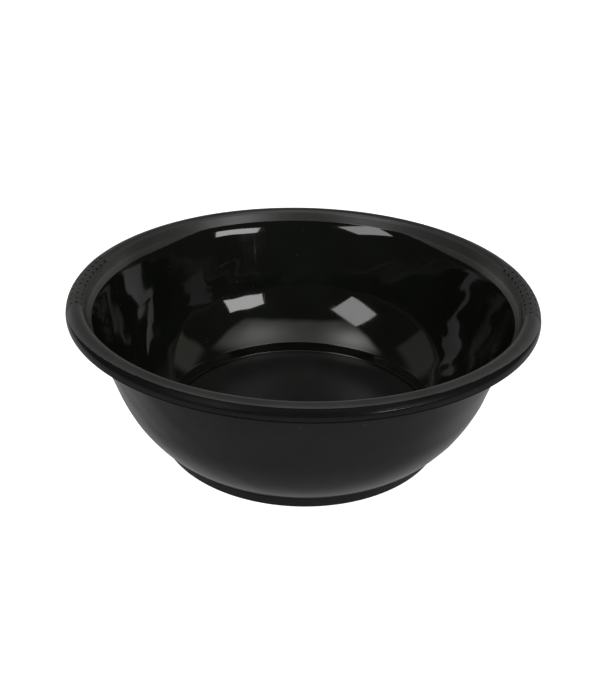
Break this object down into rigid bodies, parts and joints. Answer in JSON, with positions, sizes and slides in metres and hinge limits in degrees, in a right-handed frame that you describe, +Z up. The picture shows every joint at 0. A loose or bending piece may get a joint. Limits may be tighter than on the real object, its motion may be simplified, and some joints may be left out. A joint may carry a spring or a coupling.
{
  "type": "salon color and wash basin",
  "caption": "Round black salon basin with a hollow rolled rim, dotted side grips, sunken floor and non-slip foot ring.",
  "frame": {"origin": "centre of the resting face, under the foot ring", "axes": "+Z up out of the mouth, grips on -X and +X"},
  "size_m": [0.34, 0.34, 0.1175],
  "materials": {
    "shell": "black polypropylene, polished inside, satin on the rim",
    "grip": "matte black soft-touch elastomer",
    "foot": "dull black elastomer"
  },
  "bodies": {
    "root": {"bowl_shell": "shell", "grip_pad_left": "grip", "grip_pad_right": "grip", "foot_ring": "foot"}
  },
  "joints": []
}
